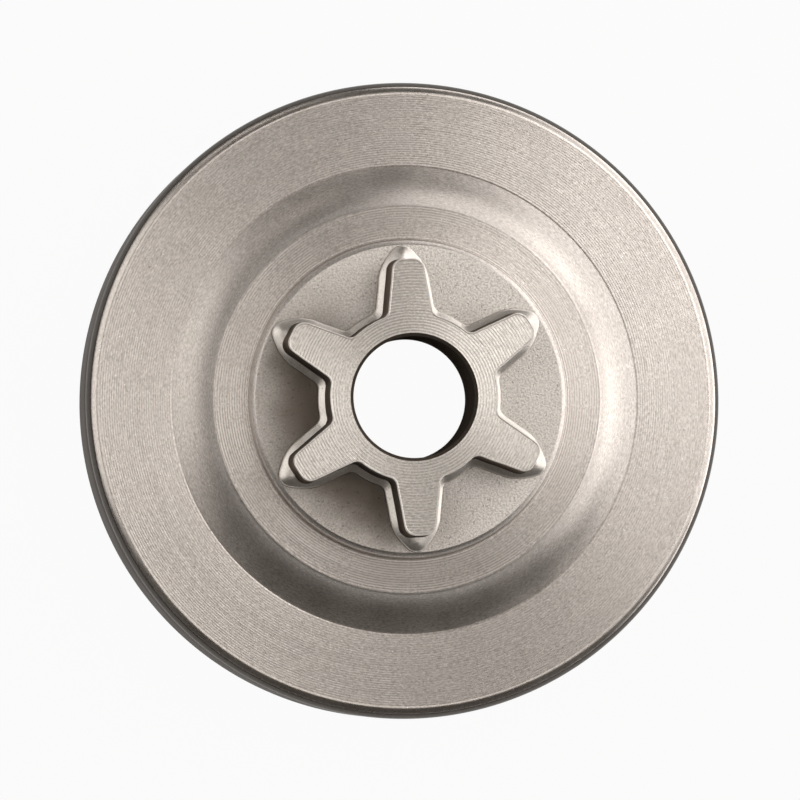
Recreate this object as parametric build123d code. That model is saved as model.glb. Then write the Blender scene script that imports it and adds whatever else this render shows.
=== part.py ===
import math
import os

from build123d import *

# Chainsaw clutch drum with a chain sprocket forged on its hub, one piece of turned steel.
# Millimetres. +Z runs along the axis, from the open rim up to the sprocket's front face.
# The part rests on its open rim at z = 0, with one tooth towards +Y.

# Drum cup
drum_inner_diameter = 64.0
drum_wall = 2.4
drum_height = 13.0
shoulder_round = 1.1
rim_chamfer = 0.4
cup_corner_break = 0.6
web_thickness = 3.0

# Sprocket teeth, measured on the front face
tooth_count = 6
tooth_height = 5.5
root_diameter = 18.0
tip_diameter = 29.5
tooth_root_width = 4.76
tooth_tip_width = 3.18
tooth_corner_round = 1.3
tooth_root_round = 0.8
tooth_edge_break = 0.1
tooth_draft = 2.0

# Sloped foot that the forging leaves around the teeth
foot_margin = 0.72
foot_slope = 38.0
foot_height = 0.9
foot_shoulder_back = 0.55
foot_shoulder_round = 1.6
foot_prow_gap = 0.2

# Raised hub, from the teeth outward
plateau_margin = 1.95
plateau_slope = 0.5
plateau_rise = 1.7
plateau_edge_break = 0.2
hub_ring_width = 3.7
hub_ring_rise = 2.8
hub_flank_width = 4.2
hub_flank_run_in = 12.0

# Recess behind the hub, and the bearing bore
hub_web = 4.5
recess_inset = 2.1
bore_diameter = 13.0
bore_chamfer = 0.35

# Radii that follow from the sizes above
drum_inner_radius = drum_inner_diameter / 2
drum_outer_radius = drum_inner_radius + drum_wall
root_radius = root_diameter / 2
tip_radius = tip_diameter / 2
bore_radius = bore_diameter / 2
plateau_radius = tip_radius + plateau_margin
plateau_foot_radius = plateau_radius + plateau_slope
hub_ring_radius = plateau_foot_radius + hub_ring_width
hub_foot_radius = hub_ring_radius + hub_flank_width
recess_radius = hub_ring_radius - recess_inset
recess_foot_radius = hub_foot_radius - recess_inset

# Levels above the rim
face_z = drum_height
floor_z = face_z - web_thickness
ring_z = face_z + hub_ring_rise
plateau_z = ring_z + plateau_rise
front_z = plateau_z + tooth_height
recess_z = plateau_z - hub_web


# Half width of a tooth at a distance from the axis, along its straight flank
def flank_half_width(distance):
    share = (distance - root_radius) / (tip_radius - root_radius)
    return (tooth_root_width + share * (tooth_tip_width - tooth_root_width)) / 2


# Wheel outline from the upper half of one tooth, listed from inside the hub to the tip
def toothed_outline(hub_radius, half_tooth, root_round, corner_round):
    mirrored = [(u, -v) for u, v in reversed(half_tooth) if v > 0]
    tooth = make_face(Polyline(*half_tooth, *mirrored, close=True))
    outer_corner = math.hypot(*half_tooth[1])
    outline = Circle(hub_radius)
    for index in range(tooth_count):
        outline += Rot(0, 0, 90 + index * 360 / tooth_count) * tooth
    roots = outline.vertices().filter_by(lambda v: math.hypot(v.X, v.Y) < (hub_radius + outer_corner) / 2)
    outline = fillet(roots, root_round)
    outer = outline.vertices().filter_by(lambda v: abs(math.hypot(v.X, v.Y) - outer_corner) < corner_round / 10)
    return fillet(outer, corner_round)


# Vertices of a section at given points
def corners(section, *points):
    return [section.vertices().sort_by_distance((r, z, 0))[0] for r, z in points]


# Section of the drum and hub, radius across and height up
hub_tangent = (-math.cos(math.radians(hub_flank_run_in)), math.sin(math.radians(hub_flank_run_in)))
section = make_face(
    Polyline(
        (hub_ring_radius, ring_z),
        (plateau_foot_radius, ring_z),
        (plateau_radius, plateau_z),
        (0, plateau_z),
        (0, recess_z),
        (recess_radius, recess_z),
        (recess_foot_radius, floor_z),
        (drum_inner_radius, floor_z),
        (drum_inner_radius, 0),
        (drum_outer_radius, 0),
        (drum_outer_radius, face_z),
        (hub_foot_radius, face_z),
    )
    + TangentArc((hub_foot_radius, face_z), (hub_ring_radius, ring_z), tangent=hub_tangent)
)
section = fillet(corners(section, (drum_outer_radius, face_z)), shoulder_round)
section = chamfer(corners(section, (drum_inner_radius, floor_z)), cup_corner_break)
section = chamfer(corners(section, (plateau_radius, plateau_z)), plateau_edge_break)
section = chamfer(corners(section, (drum_inner_radius, 0), (drum_outer_radius, 0)), rim_chamfer)
drum = revolve(Plane.XZ * section, Axis.Z)

# Teeth, drafted so that they widen from the front face down to the plateau
half_tooth = [
    (root_radius / 2, flank_half_width(root_radius / 2)),
    (tip_radius, flank_half_width(tip_radius)),
]
tooth_outline = toothed_outline(root_radius, half_tooth, tooth_root_round, tooth_corner_round)
teeth = extrude(Pos(0, 0, plateau_z) * tooth_outline, tooth_height)
tooth_sides = teeth.faces().filter_by(lambda f: abs(f.normal_at().Z) < math.sin(math.radians(tooth_draft)))
teeth = draft(tooth_sides, Plane.XY.offset(front_z), tooth_draft)
teeth = chamfer(teeth.faces().sort_by(Axis.Z)[-1].edges(), tooth_edge_break)

# Sloped foot around the teeth, drawn out to a prow at each tip
shoulder_reach = tip_radius - foot_shoulder_back
half_foot = [
    (root_radius / 2, flank_half_width(root_radius / 2) + foot_margin),
    (shoulder_reach, flank_half_width(shoulder_reach) + foot_margin),
    (plateau_radius - foot_prow_gap, 0),
]
foot_outline = toothed_outline(root_radius + foot_margin, half_foot, tooth_root_round, foot_shoulder_round)
foot_run = foot_height / math.tan(math.radians(foot_slope))
foot_top = offset(foot_outline, -foot_run, kind=Kind.INTERSECTION)
foot = loft([Pos(0, 0, plateau_z) * foot_outline, Pos(0, 0, plateau_z + foot_height) * foot_top], ruled=True)

# Bore for the needle bearing, eased at both mouths
bore_section = make_face(
    Polyline(
        (0, recess_z),
        (bore_radius + bore_chamfer, recess_z),
        (bore_radius, recess_z + bore_chamfer),
        (bore_radius, front_z - bore_chamfer),
        (bore_radius + bore_chamfer, front_z),
        (0, front_z),
        close=True,
    )
)
bore = revolve(Plane.XZ * bore_section, Axis.Z)

clutch_drum_sprocket = drum + foot + teeth - bore

os.makedirs("parts", exist_ok=True)
export_step(clutch_drum_sprocket, "parts/clutch_drum_sprocket.step")
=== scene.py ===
import math
import random

import bmesh
import bpy
from mathutils import Matrix, Vector, noise


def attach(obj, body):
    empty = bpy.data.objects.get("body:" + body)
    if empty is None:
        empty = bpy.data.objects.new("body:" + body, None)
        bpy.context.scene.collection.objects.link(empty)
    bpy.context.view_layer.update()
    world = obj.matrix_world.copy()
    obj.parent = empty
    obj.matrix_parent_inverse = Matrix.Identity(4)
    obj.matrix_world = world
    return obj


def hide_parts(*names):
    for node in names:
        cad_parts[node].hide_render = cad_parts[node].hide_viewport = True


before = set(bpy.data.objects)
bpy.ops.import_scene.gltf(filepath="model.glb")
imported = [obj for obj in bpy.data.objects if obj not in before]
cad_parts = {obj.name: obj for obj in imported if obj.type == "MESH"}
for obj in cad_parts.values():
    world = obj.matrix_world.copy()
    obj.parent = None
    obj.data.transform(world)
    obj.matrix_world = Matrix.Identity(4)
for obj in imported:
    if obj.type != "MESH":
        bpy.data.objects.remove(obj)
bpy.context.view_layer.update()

scene = bpy.context.scene
scene.view_settings.view_transform = "Standard"
millimetre = 0.001              # shapes are made in millimetres and scaled once at the end
hair = 0.001                    # two places closer than this are one
seam = 0.0004                   # the first and last ring of a full turn close up within this


def radiusOf(co):
    return math.hypot(co.x, co.y)


def ringEdges(bm, radius, height, reach=0.02):      # edges of one turned corner
    def on(v):
        return abs(radiusOf(v.co) - radius) < reach and abs(v.co.z - height) < reach
    return [e for e in bm.edges if on(e.verts[0]) and on(e.verts[1])]


def chain(bm, points):                              # open wire of (radius, height) points
    verts = [bm.verts.new((r, 0.0, z)) for r, z in points]
    for a, b in zip(verts, verts[1:]):
        bm.edges.new((a, b))
    return verts


def turnFull(bm, steps):                            # the wire turned once round the axis
    bmesh.ops.spin(bm, geom=bm.verts[:] + bm.edges[:], cent=(0, 0, 0), axis=(0, 0, 1), dvec=(0, 0, 0),
                   angle=2 * math.pi, steps=steps, use_merge=True)


groove = {"jitter": 0.03, "lean": 0.36, "shallowest": 0.7}      # shares of the pitch, and of the depth


def cutGrooves(bm, outRadius, inRadius, height, pitch, depth, dice):    # feed marks of the lathe on a flat run
    ends = [Vector((outRadius, 0, height)), Vector((inRadius, 0, height))]
    edge = [e for e in bm.edges if all(min((v.co - end).length for v in e.verts) < hair for end in ends)][0]
    count = round((outRadius - inRadius) / pitch)
    bmesh.ops.subdivide_edges(bm, edges=[edge], cuts=2 * count - 1)
    run = [v for v in bm.verts
           if inRadius + hair < v.co.x < outRadius - hair and abs(v.co.z - height) < hair]
    run.sort(key=lambda v: -v.co.x)
    for index, v in enumerate(run):
        v.co.x += dice.uniform(-groove["jitter"], groove["jitter"]) * pitch
        if index % 2 == 0:
            v.co.x += groove["lean"] * pitch        # the tool leaves one long and one short slope
            v.co.z -= depth * dice.uniform(groove["shallowest"], 1.0)


def closeUp(bm):
    bmesh.ops.remove_doubles(bm, verts=bm.verts[:], dist=seam)
    bmesh.ops.recalc_face_normals(bm, faces=bm.faces[:])


def toObject(bm, name):
    mesh = bpy.data.meshes.new(name)
    bm.to_mesh(mesh)
    bm.free()
    piece = bpy.data.objects.new(name, mesh)
    scene.collection.objects.link(piece)
    return piece


drum = {
    "steps": 360, "seed": 11,
    "core": 5.0,                                    # radius that the bore cut later clears
    "face": 13.0, "wall": 34.4, "cup": 32.0, "floor": 10.0,
    "marksOut": 33.05, "marksIn": 25.4,             # grooved part of the outer face
    "faceGrooves": (0.25, 0.018),                   # pitch and depth
    "footGroove": (25.24, 12.94),
    "hubFoot": 25.1, "hubTop": 20.9, "runIn": 20.0, "flankSteps": 14, "flankMerge": 0.004,
    "ring": 15.8, "ringMarksOut": 20.72, "ringMarksIn": 17.45,
    "ringGrooves": (0.267, 0.034),
    "plateauFoot": 17.2, "plateau": 16.55, "plateauBevel": (17.05, 17.12), "plateauHeight": 17.5,
    "recess": 18.8, "recessFoot": 23.0, "hubBack": 13.0,
    "bevelIn": 33.3, "bevelOut": (33.9, 12.70), "wallTop": 11.95,      # turned bevel on the shoulder
}


def makeDrum(d):                                    # cup, web and raised hub, turned from one profile
    bm = bmesh.new()
    dice = random.Random(d["seed"])
    outer = chain(bm, [
        (d["core"], d["hubBack"]), (d["recess"], d["hubBack"]), (d["recessFoot"], d["floor"]),
        (d["cup"], d["floor"]), (d["cup"], 0.0), (d["wall"], 0.0), (d["wall"], d["wallTop"]),
        d["bevelOut"], (d["bevelIn"], d["face"]), (d["marksOut"], d["face"]), (d["marksIn"], d["face"]),
        d["footGroove"], (d["hubFoot"], d["face"]),
    ])
    inner = chain(bm, [
        (d["hubTop"], d["ring"]), (d["ringMarksOut"], d["ring"]), (d["ringMarksIn"], d["ring"]),
        (d["plateauFoot"], d["ring"]), d["plateauBevel"], (d["plateau"], d["plateauHeight"]),
        (d["core"], d["plateauHeight"]),
    ])
    bm.edges.new((inner[-1], outer[0]))
    cutGrooves(bm, d["marksOut"], d["marksIn"], d["face"], *d["faceGrooves"], dice)
    cutGrooves(bm, d["ringMarksOut"], d["ringMarksIn"], d["ring"], *d["ringGrooves"], dice)
    rise, run = d["ring"] - d["face"], d["hubFoot"] - d["hubTop"]
    runIn = math.radians(d["runIn"])
    bend = math.atan2(rise, run) - runIn
    arcRadius = math.hypot(rise, run) / (2 * math.sin(bend))
    centre = (d["hubFoot"] + arcRadius * math.sin(runIn), 0.0, d["face"] + arcRadius * math.cos(runIn))
    hubFoot = min(bm.verts, key=lambda v: (v.co - Vector((d["hubFoot"], 0, d["face"]))).length)
    bmesh.ops.spin(bm, geom=[hubFoot], cent=centre, axis=(0, 1, 0), dvec=(0, 0, 0),
                   angle=2 * bend, steps=d["flankSteps"])       # hollow flank, swung from the hub's foot
    bmesh.ops.remove_doubles(bm, verts=bm.verts[:], dist=d["flankMerge"])
    turnFull(bm, d["steps"])
    closeUp(bm)
    rounds = [                                      # radius, height, size and segments of each eased corner
        (d["wall"], d["wallTop"], 0.35, 4), (*d["bevelOut"], 0.28, 4), (d["bevelIn"], d["face"], 0.1, 2),
        (d["wall"], 0.0, 0.4, 3), (d["cup"], 0.0, 0.4, 3), (d["cup"], d["floor"], 0.6, 4),
        (d["recessFoot"], d["floor"], 0.8, 4), (d["recess"], d["hubBack"], 0.8, 4),
        (d["hubTop"], d["ring"], 0.1, 2), (d["plateauFoot"], d["ring"], 0.12, 2),
        (*d["plateauBevel"], 0.1, 2), (d["plateau"], d["plateauHeight"], 0.06, 2),
    ]
    for radius, height, size, segments in rounds:
        bmesh.ops.bevel(bm, geom=ringEdges(bm, radius, height), affect="EDGES", offset=size,
                        segments=segments, profile=0.5, material=-1)
    return toObject(bm, "drumBlank")


teeth = {
    "count": 6, "root": 9.0, "tip": 14.75, "rootHalf": 2.38, "tipHalf": 1.59,
    "rootRound": (0.53, 5), "tipRound": (1.13, 6),  # how far back each round starts, and its segments
    "longEdge": 2.0, "flankCuts": 7, "wallCuts": 5,
    "front": 23.03, "base": 17.0, "still": 17.1, "draft": 2.0, "edgeRound": (0.18, 3),     # still up to there
    "waver": (0.035, 1.7),                          # unevenness of the forged flanks, and its size
    "lipOut": 0.03, "lipBase": 22.7,
    "lip": [(0.015, 0.24), (0.07, 0.10), (0.05, 0.0), (0.12, -0.07), (0.10, -0.20)],    # run and rise
}
foot = {
    "margin": 0.90, "shoulderBack": 0.5, "shoulderRound": (1.3, 5), "prow": 17.2, "prowRound": (1.6, 6),
    "longEdge": 3.0, "flankCuts": 7,
    "sunk": 17.2, "seat": 17.5, "waver": (0.03, 1.9),
    "profile": [(0.02, 0.28), (0.05, 0.11), (0.10, 0.08), (0.85, 0.36)],    # run and rise, from the edge in
}


def wheelOutline(bm, t, margin, prow=None, shoulder=0.0):       # one flat face, a tooth towards +Y
    lean = math.atan2(t["rootHalf"] - t["tipHalf"], t["tip"] - t["root"])

    def half(distance):                                         # half the tooth's width that far out
        share = (distance - t["root"]) / (t["tip"] - t["root"])
        return t["rootHalf"] + share * (t["tipHalf"] - t["rootHalf"]) + margin / math.cos(lean)

    root = t["root"] + margin
    meets = root
    for _ in range(8):                                          # where the flank meets the root circle
        meets = math.sqrt(root ** 2 - half(meets) ** 2)
    pitch = math.pi / t["count"]
    gap = bm.verts.new((root * math.cos(pitch), root * math.sin(pitch), 0.0))
    arc = bmesh.ops.spin(bm, geom=[gap], cent=(0, 0, 0), axis=(0, 0, 1), dvec=(0, 0, 0),
                         angle=math.atan2(half(meets), meets) - pitch, steps=3)
    rootVert = [v for v in arc["geom_last"] if isinstance(v, bmesh.types.BMVert)][0]
    reach = t["tip"] + margin if prow is None else t["tip"] - shoulder
    tipVert = bm.verts.new((reach, half(reach), 0.0))
    endVert = bm.verts.new((prow or reach, 0.0, 0.0))
    bm.edges.new((rootVert, tipVert))
    bm.edges.new((tipVert, endVert))
    bmesh.ops.mirror(bm, geom=bm.verts[:] + bm.edges[:], axis="Y", merge_dist=hair)
    bmesh.ops.remove_doubles(bm, verts=bm.verts[:], dist=hair)
    bmesh.ops.spin(bm, geom=bm.verts[:] + bm.edges[:], cent=(0, 0, 0), axis=(0, 0, 1), dvec=(0, 0, 0),
                   angle=2 * math.pi * (1 - 1 / t["count"]), steps=t["count"] - 1, use_duplicate=True)
    bmesh.ops.remove_doubles(bm, verts=bm.verts[:], dist=hair)
    bmesh.ops.rotate(bm, verts=bm.verts[:], cent=(0, 0, 0), matrix=Matrix.Rotation(math.pi / 2, 3, "Z"))
    bmesh.ops.edgeloop_fill(bm, edges=bm.edges[:])
    bmesh.ops.recalc_face_normals(bm, faces=bm.faces[:])
    if bm.faces[:][0].normal.z < 0:
        bmesh.ops.reverse_faces(bm, faces=bm.faces[:])
    near = 10 * hair
    roots = [v for v in bm.verts if abs(radiusOf(v.co) - root) < near and
             max(e.calc_length() for e in v.link_edges) > t["longEdge"]]
    tips = [v for v in bm.verts if abs(radiusOf(v.co) - math.hypot(reach, half(reach))) < near]
    return roots, tips


def roundCorners(bm, verts, back, segments):
    bmesh.ops.bevel(bm, geom=verts, affect="VERTICES", offset=back, segments=segments, profile=0.5, material=-1)


def splitLong(bm, length, cuts):
    bmesh.ops.subdivide_edges(bm, edges=[e for e in bm.edges if e.calc_length() > length], cuts=cuts)


def raiseInset(bm, top, run, rise):                 # inset the top face, then lift what is left of it
    bmesh.ops.inset_region(bm, faces=[top], thickness=run, use_even_offset=True, use_boundary=True)
    bmesh.ops.translate(bm, verts=top.verts[:], vec=(0, 0, rise))


elsewhere = Vector((31.7, 17.3, 5.9))               # far enough off for y to waver unlike x


def waver(bm, amount, size, low=-math.inf):         # forged flanks are never dead straight
    for v in bm.verts:
        if v.co.z > low:
            spot = v.co / size
            v.co.x += noise.noise(spot) * amount
            v.co.y += noise.noise(spot + elsewhere) * amount


def closeBottom(bm):
    bmesh.ops.holes_fill(bm, edges=[e for e in bm.edges if e.is_boundary], sides=0)
    bmesh.ops.recalc_face_normals(bm, faces=bm.faces[:])


def toothedFace(bm, t, margin, height):             # the teeth's outline with its corners rounded
    roots, tips = wheelOutline(bm, t, margin)
    roundCorners(bm, roots, *t["rootRound"])
    roundCorners(bm, tips, *t["tipRound"])
    splitLong(bm, t["longEdge"], t["flankCuts"])
    bmesh.ops.translate(bm, verts=bm.verts[:], vec=(0, 0, height))
    return bm.faces[:][0]


def makeTeeth(t):
    bm = bmesh.new()
    rise = t["front"] - t["base"]
    run = rise * math.tan(math.radians(t["draft"]))
    top = toothedFace(bm, t, run, t["base"])
    raiseInset(bm, top, run, rise)
    walls = [e for e in bm.edges if abs(e.verts[0].co.z - e.verts[1].co.z) > rise / 2]
    bmesh.ops.subdivide_edges(bm, edges=walls, cuts=t["wallCuts"], use_grid_fill=True)
    waver(bm, *t["waver"], low=t["still"])
    closeBottom(bm)
    rim = [e for e in bm.edges if all(abs(v.co.z - t["front"]) < hair for v in e.verts)]
    size, segments = t["edgeRound"]
    bmesh.ops.bevel(bm, geom=rim, affect="EDGES", offset=size, segments=segments, profile=0.5, material=-1)
    return toObject(bm, "teethBlank")


def makeLip(t):                                     # burr that the facing cut leaves along the teeth's edge
    bm = bmesh.new()
    top = toothedFace(bm, t, t["lipOut"], t["lipBase"])
    waver(bm, *t["waver"])
    for run, rise in t["lip"]:
        raiseInset(bm, top, run, rise)
    closeBottom(bm)
    return toObject(bm, "lipBlank")


def makeFoot(f, t):                                 # sloped foot around the teeth, with a prow at each tip
    bm = bmesh.new()
    roots, shoulders = wheelOutline(bm, t, f["margin"], f["prow"], f["shoulderBack"])
    roundCorners(bm, roots, *t["rootRound"])
    roundCorners(bm, shoulders, *f["shoulderRound"])
    roundCorners(bm, [v for v in bm.verts if radiusOf(v.co) > f["prow"] - 10 * hair], *f["prowRound"])
    splitLong(bm, f["longEdge"], f["flankCuts"])
    bmesh.ops.translate(bm, verts=bm.verts[:], vec=(0, 0, f["seat"]))
    waver(bm, *f["waver"])
    top = bm.faces[:][0]
    for run, rise in f["profile"]:
        raiseInset(bm, top, run, rise)
    sunk = bmesh.ops.extrude_edge_only(bm, edges=[e for e in bm.edges if e.is_boundary])
    bmesh.ops.translate(bm, verts=[v for v in sunk["geom"] if isinstance(v, bmesh.types.BMVert)],
                        vec=(0, 0, f["sunk"] - f["seat"]))
    closeBottom(bm)
    return toObject(bm, "footBlank")


facing = {
    "front": 23.0, "out": 16.0, "in": 4.0, "clear": 25.0,
    "grooves": (0.31, 0.026), "steps": 360, "seed": 23,     # pitch and depth of the grooves
}


def makeFacing(c):                                  # the lathe's facing cut, as a solid to take away
    bm = bmesh.new()
    points = chain(bm, [(c["in"], c["clear"]), (c["out"], c["clear"]),
                        (c["out"], c["front"]), (c["in"], c["front"])])
    bm.edges.new((points[-1], points[0]))
    cutGrooves(bm, c["out"], c["in"], c["front"], *c["grooves"], random.Random(c["seed"]))
    turnFull(bm, c["steps"])
    closeUp(bm)
    return toObject(bm, "facingCut")


bore = {"radius": 6.5, "ease": 0.35, "front": 23.0, "back": 13.0, "over": 2.0, "steps": 180}


def makeBore(b):
    bm = bmesh.new()
    wide = b["radius"] + b["ease"]
    chain(bm, [
        (wide, b["back"] - b["over"]), (wide, b["back"]), (b["radius"], b["back"] + b["ease"]),
        (b["radius"], b["front"] - b["ease"]), (wide, b["front"]), (wide, b["front"] + b["over"]),
    ])
    turnFull(bm, b["steps"])
    bmesh.ops.holes_fill(bm, edges=[e for e in bm.edges if e.is_boundary], sides=0)
    closeUp(bm)
    return toObject(bm, "boreCut")


def combine(target, tool, operation):
    modifier = target.modifiers.new(tool.name, "BOOLEAN")
    modifier.object, modifier.operation, modifier.solver = tool, operation, "MANIFOLD"


drumBlank = makeDrum(drum)
teethBlank = makeTeeth(teeth)
lipBlank = makeLip(teeth)
footBlank = makeFoot(foot, teeth)
facingCut = makeFacing(facing)
boreCut = makeBore(bore)
blanks = (drumBlank, teethBlank, lipBlank, footBlank, facingCut, boreCut)
print("blanks", [(blank.name, len(blank.data.polygons)) for blank in blanks])
combine(teethBlank, facingCut, "DIFFERENCE")
combine(teethBlank, lipBlank, "UNION")
combine(footBlank, teethBlank, "UNION")
combine(drumBlank, footBlank, "UNION")
combine(drumBlank, boreCut, "DIFFERENCE")
bpy.context.view_layer.update()
worked = drumBlank.evaluated_get(bpy.context.evaluated_depsgraph_get())
sprocketMesh = bpy.data.meshes.new_from_object(worked)
sprocketMesh.name = "clutchDrumSprocket"
sprocketMesh.materials.clear()
sprocket = bpy.data.objects.new("clutchDrumSprocket", sprocketMesh)
scene.collection.objects.link(sprocket)
for blank in blanks:
    bpy.data.objects.remove(blank)
bm = bmesh.new()
bm.from_mesh(sprocketMesh)
bmesh.ops.remove_doubles(bm, verts=bm.verts[:], dist=hair / 2)
bmesh.ops.dissolve_degenerate(bm, edges=bm.edges[:], dist=hair / 2)
bm.normal_update()

zones = ["turnedFace", "turnedHub", "facedFront", "plateau", "toothWall", "footSlope", "frontEdge",
         "hubFlank", "shoulder", "outerEdge", "drumWall", "boreWall", "cupInside"]
flatShaded = ("turnedFace", "turnedHub", "facedFront")
slack = 0.01                                        # keeps a face on the right side of a limit
edgeBand, cornerBand, stepBand = 0.3, 0.5, 0.1      # heights over which an edge, corner or step counts
upward = {                                          # z share of a face's normal
    "flat": 0.999, "level": 0.95, "faced": 0.93, "sloped": 0.4, "edge": 0.12, "under": -0.1,
}
sharpAngle = 28.0                                   # degrees


def zoneOf(face):                                   # which finish a face carries, by where it lies
    co, up = face.calc_center_median(), face.normal.z
    r, z = radiusOf(co), co.z
    if r < bore["radius"] + bore["ease"] + slack and up < upward["level"] and z > drum["hubBack"] + slack:
        return "boreWall"
    if z > facing["front"] - edgeBand and r < facing["out"]:
        return "facedFront" if up > upward["faced"] else "frontEdge" if up > upward["edge"] else "toothWall"
    if z > drum["plateauHeight"] + slack:
        return "footSlope" if up > upward["sloped"] else "toothWall"
    if up < upward["under"] or r < drum["cup"] + slack and z < drum["floor"] + cornerBand or z < edgeBand:
        return "cupInside"
    if r < drum["plateauFoot"] + slack and z > drum["ring"] + stepBand:
        return "plateau" if up > upward["level"] else "hubFlank"
    if r < drum["hubTop"] - 2 * slack:
        return "turnedHub"
    if r < drum["hubFoot"] + slack:
        return "hubFlank"
    if r < drum["marksOut"] + 5 * slack:
        return "turnedFace"
    if z > drum["bevelOut"][1] - 2 * slack:
        return "shoulder"
    return "outerEdge" if z > drum["wallTop"] - edgeBand else "drumWall"


for face in bm.faces:
    face.material_index = zones.index(zoneOf(face))
bmesh.ops.scale(bm, verts=bm.verts[:], vec=(millimetre, millimetre, millimetre))
bm.to_mesh(sprocketMesh)
bm.free()
sprocketMesh.set_sharp_from_angle(angle=math.radians(sharpAngle))
for face in sprocketMesh.polygons:
    zone = zones[face.material_index]
    levelTop = zone == "plateau" and face.normal.z > upward["flat"]
    face.use_smooth = zone not in flatShaded and not levelTop
print("sprocket", len(sprocketMesh.polygons), "faces")


class Sock:                                         # a node socket that takes Python arithmetic
    def __init__(self, tree, out=None):
        self.tree, self.out = tree, out

    def node(self, kind, settings, sockets, out=0):
        made = self.tree.nodes.new(kind)
        for name, value in settings.items():
            setattr(made, name, value)
        for key, value in sockets.items():
            if isinstance(value, Sock):
                self.tree.links.new(value.out, made.inputs[key])
            else:
                made.inputs[key].default_value = value
        return Sock(self.tree, made.outputs[out])

    def math(self, operation, *values):
        return self.node("ShaderNodeMath", {"operation": operation}, dict(enumerate(values)))

    def __add__(self, other):
        return self.math("ADD", self, other)

    def __sub__(self, other):
        return self.math("SUBTRACT", self, other)

    def __mul__(self, other):
        return self.math("MULTIPLY", self, other)

    def __truediv__(self, other):
        return self.math("DIVIDE", self, other)

    def __pow__(self, other):
        return self.math("POWER", self, other)

    __radd__ = __add__
    __rmul__ = __mul__


def step(value, low, high):                         # 0 under low, 1 over high, smooth between
    return value.node("ShaderNodeMapRange", {"interpolation_type": "SMOOTHSTEP", "clamp": True},
                      {"Value": value, "From Min": low, "From Max": high})


def mixColour(factor, a, b):
    return factor.node("ShaderNodeMix", {"data_type": "RGBA"}, {0: factor, 6: a, 7: b}, out=2)


def noiseAt(vector, scale, detail, rough):
    return vector.node("ShaderNodeTexNoise", {"noise_dimensions": "3D"},
                       {"Vector": vector, "Scale": scale, "Detail": detail, "Roughness": rough})


class Finish:                                       # one steel material with the coordinates its marks follow
    def __init__(self, name):
        self.material = bpy.data.materials.new(name)
        self.material.use_nodes = True
        tree = self.material.node_tree
        tree.nodes.clear()
        base = Sock(tree)
        place = base.node("ShaderNodeTexCoord", {}, {}, out="Object")
        self.at = base.node("ShaderNodeVectorMath", {"operation": "SCALE"},
                            {0: place, "Scale": 1 / millimetre})
        self.x = base.node("ShaderNodeSeparateXYZ", {}, {0: self.at}, out="X")
        self.y = base.node("ShaderNodeSeparateXYZ", {}, {0: self.at}, out="Y")
        self.z = base.node("ShaderNodeSeparateXYZ", {}, {0: self.at}, out="Z")
        self.radius = (self.x ** 2.0 + self.y ** 2.0) ** 0.5
        self.reach = self.radius - self.z           # grows along the turned profile, on faces and walls alike
        self.east, self.north = self.x / self.radius, self.y / self.radius
        self.base = base

    def along(self, across, around):                # stretched round the axis: marks that run with the turning
        return self.base.node("ShaderNodeCombineXYZ", {}, {
            0: self.reach * across, 1: self.east * around, 2: self.north * around})

    def finish(self, colour, roughness, height, look):
        bump = self.base.node("ShaderNodeBump", {}, {
            "Strength": 1.0, "Distance": look["bump"] * millimetre, "Height": height})
        sockets = {"Base Color": colour, "Roughness": roughness, "Metallic": 1.0, "Normal": bump}
        sockets.update(look["fixed"])
        shader = self.base.node("ShaderNodeBsdfPrincipled", {}, sockets)
        end = self.base.tree.nodes.new("ShaderNodeOutputMaterial")
        self.base.tree.links.new(shader.out, end.inputs["Surface"])
        return self.material


turning = {                                         # how far each mark shows in colour, roughness and height
    "fleck": 0.9, "pit": 0.4, "blotchRough": 0.16, "lineRough": 0.08, "lineHeight": 0.5, "pitHeight": 0.5,
    "wander": 0.1, "feedLeast": 0.4, "feedMore": 1.2, "feedPatch": (0.42, 0.62),
}


def turnedSteel(name, look, m=turning):
    f = Finish(name)
    lines = noiseAt(f.along(5.0, 2.0), 1.0, 3.0, 0.6)               # fine rings
    broad = noiseAt(f.along(0.9, 1.4), 1.0, 3.0, 0.6)               # wide rings
    blotch = noiseAt(f.at, 0.22, 4.0, 0.6)                          # uneven sheen
    grain = noiseAt(f.along(6.0, look["around"]), 1.0, 2.0, 0.7)    # short tears along the cut
    fleck = step(noiseAt(f.at, 4.2, 1.0, 0.5), 0.735, 0.775)        # bright specks
    pit = step(noiseAt(f.at, 2.1, 1.0, 0.5), 0.26, 0.21)            # dark pits
    tone = 0.5 + look["streak"] * (lines - 0.5) + look["broad"] * (broad - 0.5)
    tone = tone + look["blotch"] * (blotch - 0.5) + look["grain"] * (grain - 0.5)
    if "feed" in look:                                              # the tool's path, one turn after another
        pitch, strength = look["feed"]
        turn = (f.reach + m["wander"] * (broad - 0.5)) * (2 * math.pi / pitch)
        patchy = m["feedLeast"] + m["feedMore"] * step(blotch, *m["feedPatch"])
        tone = tone + turn.math("SINE", turn) * patchy * strength
    colour = mixColour(tone, look["dark"], look["light"])
    colour = mixColour(fleck * m["fleck"], colour, look["fleck"])
    colour = mixColour(pit * m["pit"], colour, look["pit"])
    rough = look["rough"] + m["blotchRough"] * (blotch - 0.5) + m["lineRough"] * (lines - 0.5)
    height = lines * m["lineHeight"] + grain * look["grainHeight"] - pit * m["pitHeight"]
    return f.finish(colour, rough, height, look)


blasting = {
    # this line also holds the strength of the painted shade, partly scale, at the foot of the teeth
    "fine": 0.3, "fleck": 0.4, "pit": 0.3, "shadeAndScale": 0.85, "blotchRough": 0.2, "fineRough": 0.1,
    "fineHeight": 0.35, "pitHeight": 0.8,
    # where the painted shadow between the teeth lies, fades and frays; last, how the painted shade at the
    # teeth's foot frays
    "shadowSide": (-0.9, -0.43), "shadowFade": (-0.2, 0.75), "shadowRagged": 3.0, "shadeAndScaleRagged": 0.6,
}


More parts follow.
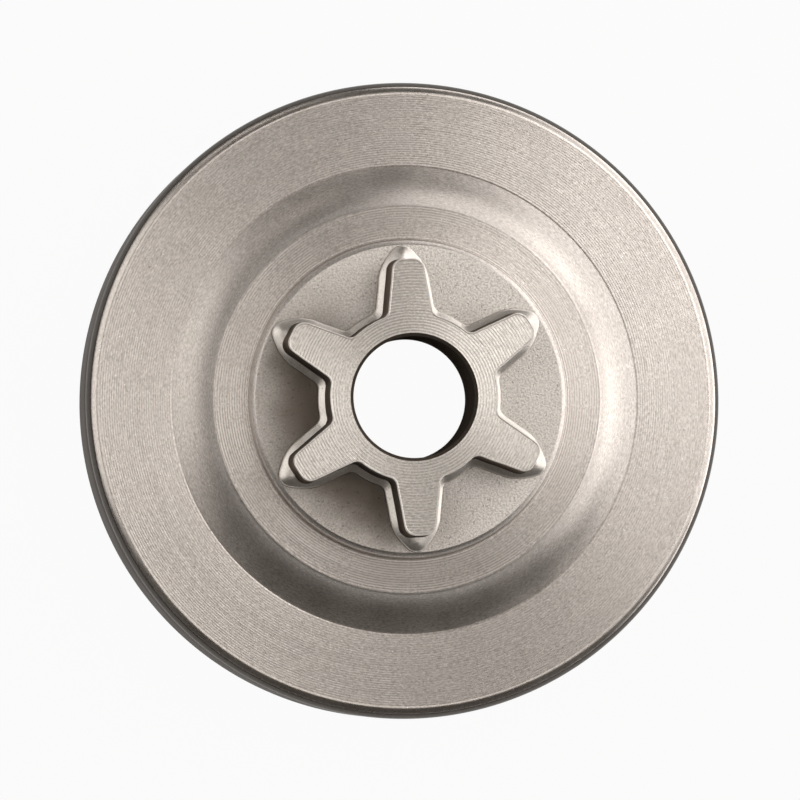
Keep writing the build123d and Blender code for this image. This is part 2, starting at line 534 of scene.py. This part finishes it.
def blastedSteel(name, look, m=blasting):
    f = Finish(name)
    blotch = noiseAt(f.at, 0.35, 4.0, 0.6)                          # uneven sheen
    grain = noiseAt(f.at, 4.4, 2.0, 0.7)                            # the blasted surface
    fine = noiseAt(f.at, 11.0, 2.0, 0.6)                            # finer than the grain
    fleck = step(noiseAt(f.at, 3.6, 1.0, 0.5), 0.68, 0.76)
    pit = step(noiseAt(f.at, 2.9, 1.0, 0.5), 0.33, 0.26)
    tone = 0.5 + look["grain"] * (grain - 0.5) + look["blotch"] * (blotch - 0.5) + m["fine"] * (fine - 0.5)
    colour = mixColour(tone, look["dark"], look["light"])
    colour = mixColour(fleck * m["fleck"], colour, look["fleck"])
    colour = mixColour(pit * m["pit"], colour, look["pit"])
    if "paintedShadow" in look:                                              # painted shadow on the plateau between the teeth, on one side only
        side = f.east * m["shadowSide"][0] + f.north * m["shadowSide"][1]
        paintedShadow = step(f.radius + m["shadowRagged"] * (blotch - 0.5), *look["paintedShadow"]) * step(side, *m["shadowFade"])
        colour = mixColour(paintedShadow, colour, look["pit"])
    if "shadeAndScale" in look:                                              # painted shade in the corner towards the foot of the walls, partly forging scale
        shadeAndScale = step(f.z + m["shadeAndScaleRagged"] * (blotch - 0.5), *look["shadeAndScale"])
        colour = mixColour(shadeAndScale * m["shadeAndScale"], colour, look["pit"])
    rough = look["rough"] + m["blotchRough"] * (blotch - 0.5) + m["fineRough"] * (fine - 0.5)
    height = grain + fine * m["fineHeight"] - pit * m["pitHeight"]
    return f.finish(colour, rough, height, look)


warm = {"dark": (0.47, 0.427, 0.392, 1), "light": (0.82, 0.764, 0.717, 1),
        "fleck": (0.98, 0.96, 0.93, 1), "pit": (0.20, 0.17, 0.14, 1)}
pale = {**warm, "dark": (0.68, 0.632, 0.585, 1), "light": (0.96, 0.91, 0.85, 1)}
front = {**warm, "dark": (0.53, 0.493, 0.453, 1), "light": (0.88, 0.83, 0.775, 1)}
sooty = {**warm, "dark": (0.24, 0.212, 0.187, 1), "light": (0.44, 0.4, 0.36, 1), "pit": (0.1, 0.084, 0.07, 1)}
# near-black colour for the eased top edge of the drum wall: a painted dark line of shade
paintedDarkEdge = {**warm, "dark": (0.05, 0.043, 0.037, 1), "light": (0.13, 0.114, 0.1, 1),
         "fleck": (0.2, 0.178, 0.158, 1)}
# darker colour for the drum's outer wall: painted shade over the wall's reflection of the floor
paintedShadeWall = {**warm, "dark": (0.17, 0.15, 0.132, 1), "light": (0.36, 0.328, 0.292, 1),
        "fleck": (0.5, 0.46, 0.42, 1)}
# near-black colour for the bore: painted shade inside the bore
paintedShadeBore = {**warm, "dark": (0.035, 0.028, 0.023, 1), "light": (0.1, 0.081, 0.065, 1),
         "fleck": (0.12, 0.1, 0.082, 1)}
brushed = {"Anisotropic": 0.6, "Anisotropic Rotation": 0.25}
looks = {
    "turnedFace": (turnedSteel, {
        **warm, "streak": 0.3, "broad": 0.12, "blotch": 0.35, "grain": 2.4, "around": 75.0, "grainHeight": 0.9,
        "feed": (0.25, 0.16), "rough": 0.43, "bump": 0.008, "fixed": brushed}),
    "turnedHub": (turnedSteel, {
        **warm, "streak": 0.35, "broad": 0.12, "blotch": 0.35, "grain": 2.9, "around": 55.0, "grainHeight": 0.9,
        "feed": (0.267, 0.55), "rough": 0.44, "bump": 0.008, "fixed": brushed}),
    "facedFront": (turnedSteel, {
        **front, "streak": 0.35, "broad": 0.12, "blotch": 0.3, "grain": 3.2, "around": 28.0, "grainHeight": 0.8,
        "feed": (0.31, 0.42), "rough": 0.45, "bump": 0.007, "fixed": brushed}),
    # the plateau carries a painted shadow between the teeth on one side
    "plateau": (blastedSteel, {
        **pale, "grain": 4.6, "blotch": 0.4, "paintedShadow": (19.5, 11.5), "rough": 0.55, "bump": 0.045,
        "fixed": {"Metallic": 0.85}}),
    # tooth walls darken towards their foot: painted corner shade, partly forging scale
    "toothWall": (blastedSteel, {
        **sooty, "grain": 0.9, "blotch": 0.5, "shadeAndScale": (23.0, 19.2), "rough": 0.42, "bump": 0.02,
        "fixed": {"Specular Tint": (0.35, 0.31, 0.28, 1)}}),
    "footSlope": (blastedSteel, {
        **pale, "grain": 1.2, "blotch": 0.4, "rough": 0.36, "bump": 0.012, "fixed": {}}),
    "frontEdge": (blastedSteel, {
        **pale, "grain": 0.8, "blotch": 0.3, "rough": 0.4, "bump": 0.006, "fixed": {"Metallic": 0.6}}),
    "hubFlank": (turnedSteel, {
        **warm, "streak": 0.2, "broad": 0.12, "blotch": 0.4, "grain": 2.4, "around": 60.0, "grainHeight": 1.0,
        "rough": 0.39, "bump": 0.008, "fixed": {}}),
    "shoulder": (turnedSteel, {
        **warm, "streak": 0.3, "broad": 0.12, "blotch": 0.4, "grain": 1.8, "around": 80.0, "grainHeight": 0.4,
        "rough": 0.28, "bump": 0.006, "fixed": {}}),
    # the wall's top edge is painted near black: painted shade
    "outerEdge": (turnedSteel, {
        **paintedDarkEdge, "streak": 0.3, "broad": 0.2, "blotch": 0.4, "grain": 1.2, "around": 80.0, "grainHeight": 0.4,
        "rough": 0.36, "bump": 0.006, "fixed": {}}),
    # outer wall: darker colour and a low Specular Tint that dims its grazing reflection, both painted shade
    "drumWall": (turnedSteel, {
        **paintedShadeWall, "streak": 0.4, "broad": 0.2, "blotch": 0.4, "grain": 1.8, "around": 80.0, "grainHeight": 0.4,
        "feed": (0.24, 0.2), "rough": 0.34, "bump": 0.006,
        "fixed": {"Specular Tint": (0.13, 0.117, 0.108, 1)}}),
    # the bore is painted near black with its reflection turned off: painted shade
    "boreWall": (turnedSteel, {
        **paintedShadeBore, "streak": 0.4, "broad": 0.3, "blotch": 0.4, "grain": 0.6, "around": 16.0, "grainHeight": 0.3,
        "rough": 0.5, "bump": 0.006, "fixed": {"Metallic": 0.0, "Specular IOR Level": 0.0}}),
    "cupInside": (turnedSteel, {
        **warm, "streak": 0.5, "broad": 0.3, "blotch": 0.5, "grain": 1.8, "around": 60.0, "grainHeight": 0.4,
        "feed": (0.3, 0.2), "rough": 0.38, "bump": 0.012, "fixed": {}}),
}
for zone in zones:
    make, look = looks[zone]
    sprocketMesh.materials.append(make(zone, look))
print("finishes", len(sprocketMesh.materials))

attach(sprocket, "root")
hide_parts("clutch_drum_sprocket")

view = {
    "turn": -2.75,                                  # degrees that the photo is turned about +Z
    "lean": (-0.1037, -0.034, 0.994),               # towards the camera, in the photo's right, up and out
    "target": (-0.518, 0.0, 13.0), "distance": 750.0, "lens": 312.8, "sensor": 36.0,
}
turned = Matrix.Rotation(math.radians(view["turn"]), 3, "Z")
outward = (turned @ Vector(view["lean"])).normalized()
sideways = (turned @ Vector((0, 1, 0))).cross(outward).normalized()
upwards = outward.cross(sideways)
cameraData = bpy.data.cameras.new("photoCamera")
cameraData.lens, cameraData.sensor_width = view["lens"], view["sensor"]
cameraData.clip_start, cameraData.clip_end = 0.01, 20.0
camera = bpy.data.objects.new("photoCamera", cameraData)
spot = (turned @ Vector(view["target"]) + outward * view["distance"]) * millimetre
camera.matrix_world = Matrix.Translation(spot) @ Matrix((sideways, upwards, outward)).transposed().to_4x4()
scene.collection.objects.link(camera)
scene.camera = camera

white, cream, sand = (1.0, 0.98, 0.963), (1.0, 0.98, 0.95), (1.0, 0.97, 0.93)
lamps = {       # azimuth in the photo, angle off the axis, distance, width, height, radiance, colour
    "boxRight": (18, 55, 420, 560, 620, 1.26, white),
    "boxHigh": (32, 25, 700, 280, 200, 2.1, white),
    "stripRight": (350, 82, 430, 420, 110, 1.7, white),
    "stripUpper": (58, 82, 430, 480, 110, 1.8, white),
    "boxLeft": (168, 48, 420, 390, 340, 1.12, cream),
    "boxTop": (0, 0, 1000, 425, 425, 1.2, sand),
    "stripBack": (116, 62, 420, 190, 45, 1.6, sand),
}
for name, (azimuth, off, away, width, height, radiance, colour) in lamps.items():
    data = bpy.data.lights.new(name, "AREA")
    data.shape, data.size, data.size_y = "RECTANGLE", width * millimetre, height * millimetre
    data.energy = radiance * math.pi * data.size * data.size_y
    data.color = colour
    lamp = bpy.data.objects.new(name, data)
    a, t = math.radians(azimuth), math.radians(off)
    towards = turned @ Vector((math.sin(t) * math.cos(a), math.sin(t) * math.sin(a), math.cos(t)))
    lamp.matrix_world = Matrix.Translation(towards * away * millimetre) @ \
        towards.to_track_quat("Z", "Y").to_matrix().to_4x4()
    scene.collection.objects.link(lamp)

ground = {"size": 3.0, "drop": 0.0002, "colour": (0.45, 0.44, 0.43, 1), "shown": 0.95}      # metres
bm = bmesh.new()
bmesh.ops.create_grid(bm, x_segments=1, y_segments=1, size=ground["size"])
bmesh.ops.translate(bm, verts=bm.verts[:], vec=(0, 0, -ground["drop"]))
floor = toObject(bm, "floor")
floorMaterial = bpy.data.materials.new("paleFloor")
floorMaterial.use_nodes = True
tree = floorMaterial.node_tree
tree.nodes.clear()
base = Sock(tree)
seen = base.node("ShaderNodeLightPath", {}, {}, out="Is Camera Ray")
mirrored = base.node("ShaderNodeLightPath", {}, {}, out="Is Glossy Ray")
through = base.node("ShaderNodeLightPath", {}, {}, out="Is Transmission Ray")
shown = seen.math("MAXIMUM", seen.math("MAXIMUM", seen, mirrored), through)
matt = base.node("ShaderNodeBsdfDiffuse", {}, {"Color": ground["colour"]})
glow = base.node("ShaderNodeEmission", {}, {"Color": (1, 1, 1, 1), "Strength": 1.0})
both = base.node("ShaderNodeMixShader", {}, {0: shown * ground["shown"], 1: matt, 2: glow})
end = tree.nodes.new("ShaderNodeOutputMaterial")
tree.links.new(both.out, end.inputs["Surface"])
floor.data.materials.append(floorMaterial)

world = bpy.data.worlds.new("studio")
world.use_nodes = True
scene.world = world
backdrop = world.node_tree.nodes["Background"]
backdrop.inputs["Color"].default_value = (0.070, 0.063, 0.056, 1)
backdrop.inputs["Strength"].default_value = 1.0
print("camera, lamps and floor placed")
